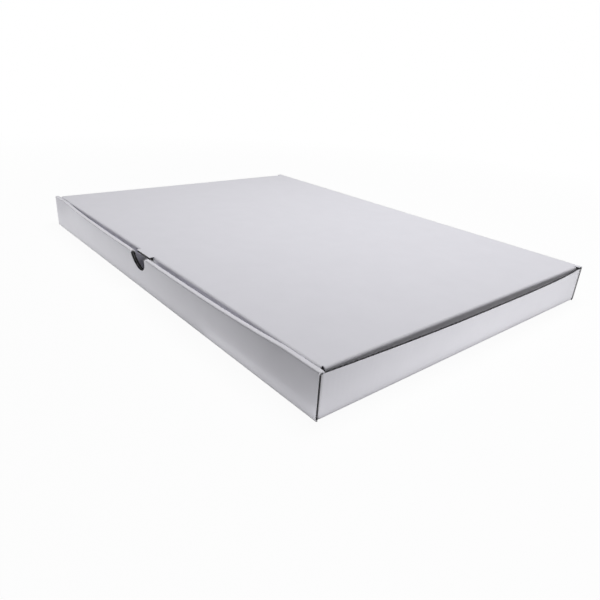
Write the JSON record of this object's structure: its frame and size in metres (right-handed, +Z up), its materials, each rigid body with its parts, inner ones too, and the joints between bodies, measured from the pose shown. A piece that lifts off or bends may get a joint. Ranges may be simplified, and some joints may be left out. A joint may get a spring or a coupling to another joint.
{
  "type": "mailer box",
  "caption": "Shallow die-cut corrugated mailer box with a rolled front wall, thumb notch and hinged tuck-in lid, for sending flat goods through a letterbox.",
  "frame": {"origin": "middle of the underside of the base, on the surface the box rests on", "axes": "+X along the notched front wall, +Y from the front wall to the hinge, +Z up"},
  "size_m": [0.3404, 0.244, 0.025],
  "materials": {
    "white_board": "white-topped fine-flute corrugated board, smooth and nearly matt"
  },
  "bodies": {
    "tray": {"tray": "white_board"},
    "lid": {"lid": "white_board"}
  },
  "joints": [
    {"name": "lid_hinge", "type": "hinge", "parent": "tray", "child": "lid", "pos_m": [0, 0.1205, 0.025], "axis": [-1, 0, 0], "range_deg": [0, 180]}
  ]
}
